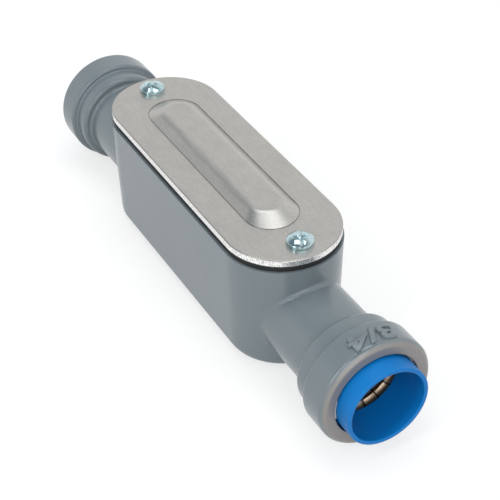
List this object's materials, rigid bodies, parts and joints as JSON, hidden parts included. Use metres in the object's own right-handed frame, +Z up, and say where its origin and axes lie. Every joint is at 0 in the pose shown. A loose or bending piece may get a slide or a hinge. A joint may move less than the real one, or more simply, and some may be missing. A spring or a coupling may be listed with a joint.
{
  "type": "conduit body",
  "caption": "Straight cast conduit body with a push-fit socket and sliding release collar at each end and a screwed, gasketed cover over the wire chamber.",
  "frame": {"origin": "on the surface that the two hubs lie on, below the middle of the body, with the conduit run 20.955 mm above it", "axes": "+X along the run towards the near socket, +Z up out of the cover, +Y to the left when looking along +X"},
  "size_m": [0.2214, 0.043, 0.0532],
  "materials": {
    "grey_enamel": "satin grey enamel over a die casting",
    "cover_aluminium": "mill finish with a fine grain along the sheet",
    "gasket_rubber": "matt black sheet rubber",
    "zinc_steel": "bright zinc plate with a blue passivate",
    "seal_rubber": "smooth black rubber",
    "stainless": "spring stainless, pressed and bright",
    "black_acetal": "moulded black acetal",
    "ivory_acetal": "moulded natural acetal",
    "blue_acetal": "moulded bright blue acetal, satin"
  },
  "bodies": {
    "body": {"housing": "grey_enamel", "cover_plate": "cover_aluminium", "cover_gasket": "gasket_rubber", "near_cover_screw": "zinc_steel", "near_seal_ring": "seal_rubber", "near_bond_ring": "stainless", "near_spacer_ring": "black_acetal", "near_grip_ring": "stainless", "near_support_ring": "ivory_acetal", "far_cover_screw": "zinc_steel", "far_seal_ring": "seal_rubber", "far_bond_ring": "stainless", "far_spacer_ring": "black_acetal", "far_grip_ring": "stainless", "far_support_ring": "ivory_acetal"},
    "near_collar": {"near_release_collar": "blue_acetal"},
    "far_collar": {"far_release_collar": "blue_acetal"}
  },
  "joints": [
    {"name": "near_collar_slide", "type": "slide", "parent": "body", "child": "near_collar", "axis": [1, 0, 0], "range_m": [-0.0022, 0]},
    {"name": "far_collar_slide", "type": "slide", "parent": "body", "child": "far_collar", "axis": [-1, 0, 0], "range_m": [-0.0022, 0]}
  ]
}
